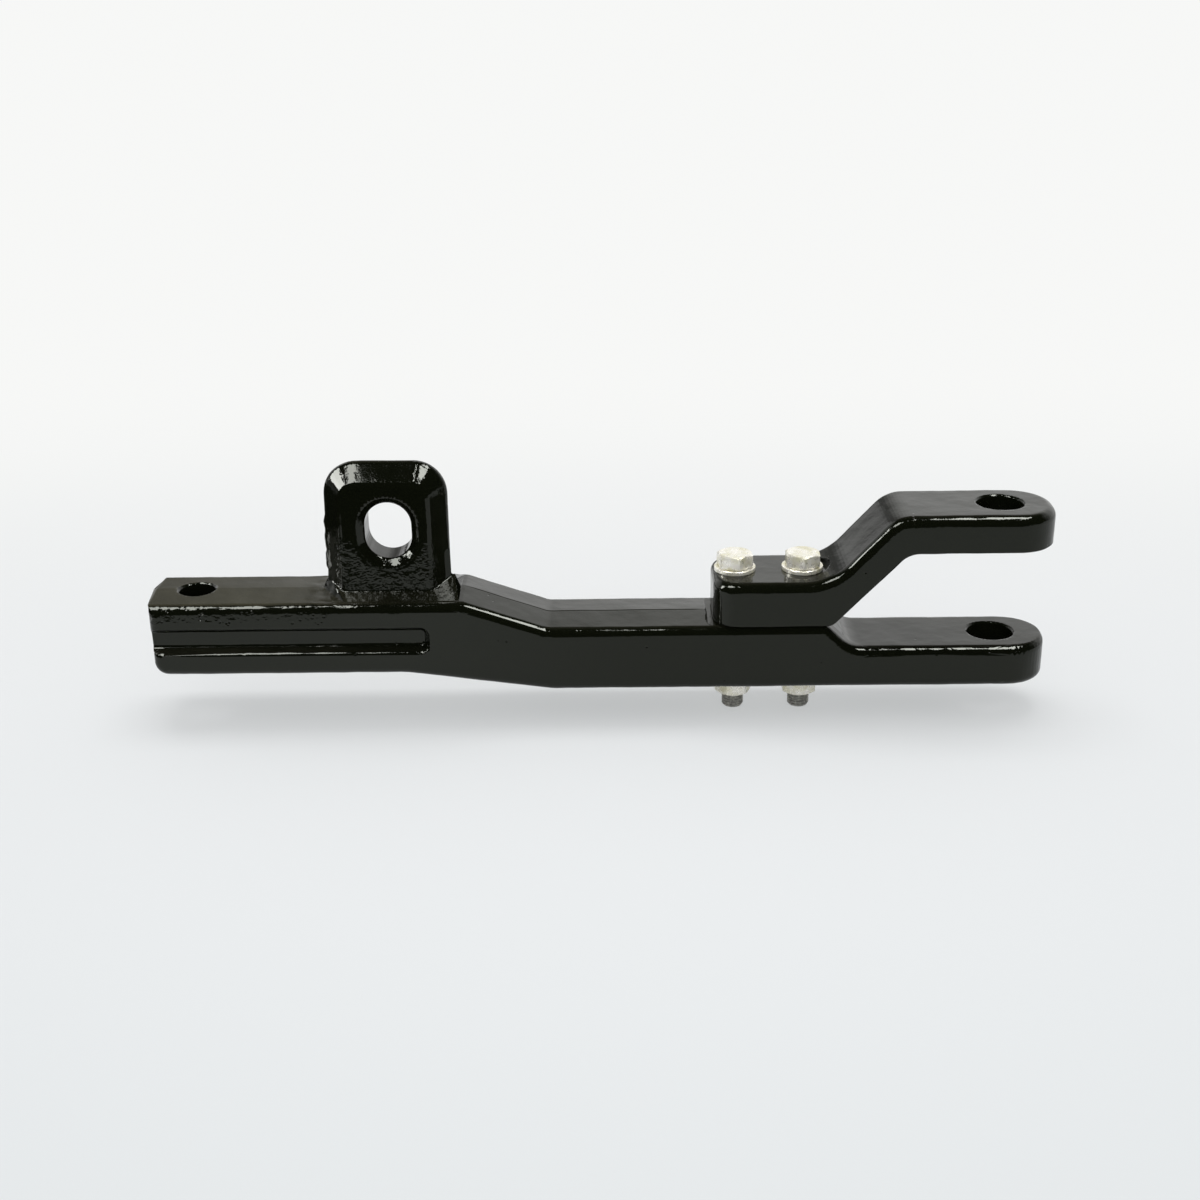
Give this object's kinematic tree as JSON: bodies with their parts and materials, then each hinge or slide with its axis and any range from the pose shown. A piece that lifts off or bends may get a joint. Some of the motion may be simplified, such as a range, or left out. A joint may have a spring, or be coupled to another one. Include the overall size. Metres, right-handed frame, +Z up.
{
  "type": "tractor drawbar with bolted clevis jaw",
  "caption": "Forged swinging drawbar: cranked bar with a pivot hole, a slotted lug, side grooves and a lower ear, and a bolted upper jaw that makes the clevis for the hitch pin.",
  "frame": {"origin": "on the axis of the tractor pivot hole, halfway up the front section", "axes": "+X runs back along the bar from the pivot hole to the clevis jaw, +Z is up along both pin holes, Y = 0 is the plane of symmetry and the parting plane of the forging"},
  "size_m": [0.6513, 0.0666, 0.1932],
  "materials": {
    "black_paint": "thick gloss black paint over a forged skin",
    "dark_steel": "dark phosphated bolt, slightly oily",
    "zinc": "yellowish zinc plating"
  },
  "bodies": {
    "root": {"drawbar": "black_paint", "upper_jaw": "black_paint", "front_jaw_bolt": "dark_steel", "rear_jaw_bolt": "dark_steel", "front_washer": "zinc", "rear_washer": "zinc", "front_lock_nut": "zinc", "rear_lock_nut": "zinc"}
  },
  "joints": []
}
